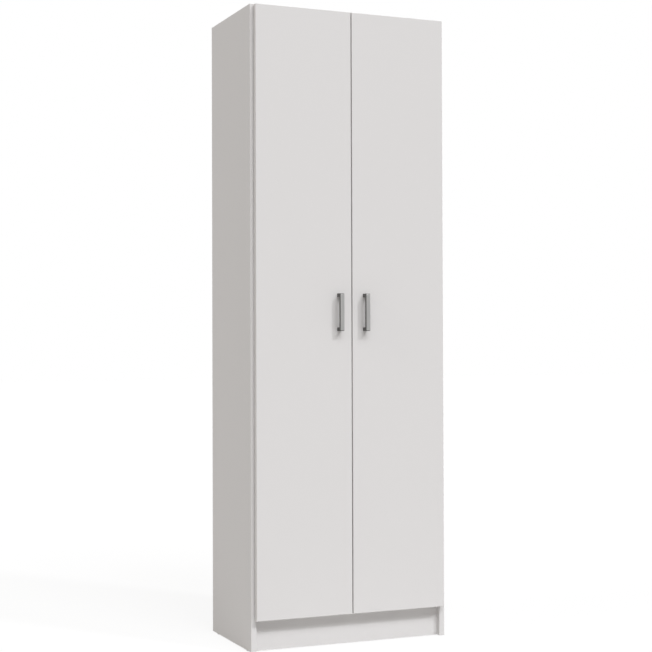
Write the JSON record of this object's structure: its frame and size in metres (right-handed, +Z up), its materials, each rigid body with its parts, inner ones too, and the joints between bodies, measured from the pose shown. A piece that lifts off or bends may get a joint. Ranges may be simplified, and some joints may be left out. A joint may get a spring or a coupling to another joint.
{
  "type": "wardrobe",
  "caption": "Tall narrow white wardrobe with hinged overlay doors, bow handles, recessed plinth, hat shelf, hanging rail and shoe shelves.",
  "frame": {"origin": "centre of the bounding box on the floor", "axes": "+Z up, doors face -Y, +X to the right as seen from the front"},
  "size_m": [0.6, 0.374, 1.8],
  "materials": {
    "white_board": "white melamine faced chipboard, fine matt",
    "back_sheet": "thin hardboard, white inside, raw brown behind",
    "white_plastic": "matt",
    "dowel_wood": "fluted beech",
    "zinc": "die-cast zinc",
    "bright_steel": "nickel plated",
    "satin_nickel": "satin nickel on die-cast zinc",
    "chrome_tube": "bright chrome",
    "clear_rubber": "clear soft polymer"
  },
  "bodies": {
    "carcass": {"side_panel_left": "white_board", "side_panel_right": "white_board", "top_panel": "white_board", "bottom_panel": "white_board", "hat_shelf": "white_board", "plinth_board": "white_board", "shoe_shelf_lower": "white_board", "shoe_shelf_upper": "white_board", "back_panel_lower": "back_sheet", "back_panel_upper": "back_sheet", "back_joining_strip": "white_plastic", "floor_glides": "white_plastic", "rail_end_caps": "white_plastic", "wood_dowels": "dowel_wood", "cam_discs": "zinc", "cam_bolts": "bright_steel", "shelf_pins": "bright_steel", "back_panel_nails": "bright_steel", "rail_bracket_screws": "bright_steel", "wall_angles": "bright_steel", "wall_angle_screws": "bright_steel", "hinge_arms_left": "bright_steel", "hinge_arms_right": "bright_steel", "hinge_plates_left": "bright_steel", "hinge_plates_right": "bright_steel", "hinge_arm_screws_left": "bright_steel", "hinge_arm_screws_right": "bright_steel", "hinge_adjust_screws_left": "bright_steel", "hinge_adjust_screws_right": "bright_steel", "hinge_plate_screws_left": "bright_steel", "hinge_plate_screws_right": "bright_steel", "hanging_rail": "chrome_tube", "rail_brackets": "chrome_tube"},
    "left_door": {"door_left": "white_board", "handle_left": "satin_nickel", "handle_screws_left": "bright_steel", "door_buffers_left": "clear_rubber", "hinge_cups_left": "bright_steel", "hinge_pins_left": "bright_steel", "hinge_cup_screws_left": "bright_steel"},
    "right_door": {"door_right": "white_board", "handle_right": "satin_nickel", "handle_screws_right": "bright_steel", "door_buffers_right": "clear_rubber", "hinge_cups_right": "bright_steel", "hinge_pins_right": "bright_steel", "hinge_cup_screws_right": "bright_steel"}
  },
  "joints": [
    {"name": "left_door_hinge", "type": "hinge", "parent": "carcass", "child": "left_door", "pos_m": [-0.2832, -0.1552, 0.94375], "axis": [0, 0, -1], "range_deg": [0, 95]},
    {"name": "right_door_hinge", "type": "hinge", "parent": "carcass", "child": "right_door", "pos_m": [0.2832, -0.1552, 0.94375], "axis": [0, 0, 1], "range_deg": [0, 95]}
  ]
}
